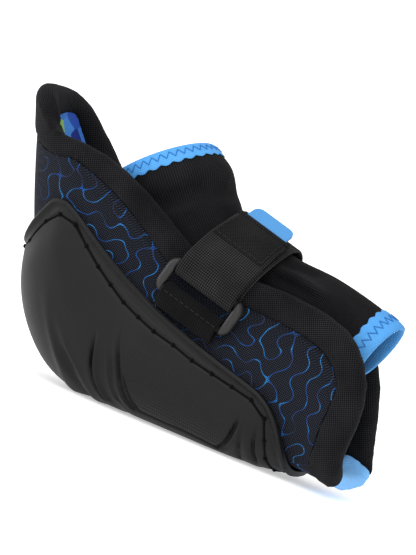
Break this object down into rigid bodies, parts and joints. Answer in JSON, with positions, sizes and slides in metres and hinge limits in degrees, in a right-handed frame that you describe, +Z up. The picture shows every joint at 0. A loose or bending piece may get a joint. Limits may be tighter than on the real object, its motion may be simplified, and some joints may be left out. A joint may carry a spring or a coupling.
{
  "type": "hockey elbow pad",
  "caption": "Bent arm guard with a moulded elbow cap, padded shell with rolled edges, stretch inner sleeve and an elastic strap through a ring.",
  "frame": {"origin": "on the flat underside of the elbow cap, on the pad's middle plane, below the strap's ring", "axes": "+Z up from the surface the cap lies on, +X along the forearm towards the hand, -Y the side with the ring"},
  "size_m": [0.2548, 0.0992, 0.1572],
  "materials": {
    "panel_cloth": "printed woven cloth over foam",
    "lining_cloth": "printed brushed knit",
    "binding_knit": "stretch knit, padded",
    "blue_stretch": "stretch knit",
    "cap_rubber": "moulded, satin",
    "sleeve_mesh": "fine stretch mesh",
    "cuff_elastic": "fold-over elastic",
    "strap_elastic": "woven elastic",
    "tab_rubber": "moulded, matt",
    "webbing": "ribbed woven tape",
    "ring_plastic": "moulded, fine grain"
  },
  "bodies": {
    "root": {"arm_shell": "panel_cloth", "shell_lining": "lining_cloth", "shell_binding": "binding_knit", "end_gusset": "blue_stretch", "elbow_cap": "cap_rubber", "sleeve": "sleeve_mesh", "sleeve_cuff_upper": "cuff_elastic", "sleeve_cuff_forearm": "cuff_elastic", "strap": "strap_elastic", "pull_tab": "tab_rubber", "ring_webbing": "webbing", "strap_ring": "ring_plastic"}
  },
  "joints": []
}
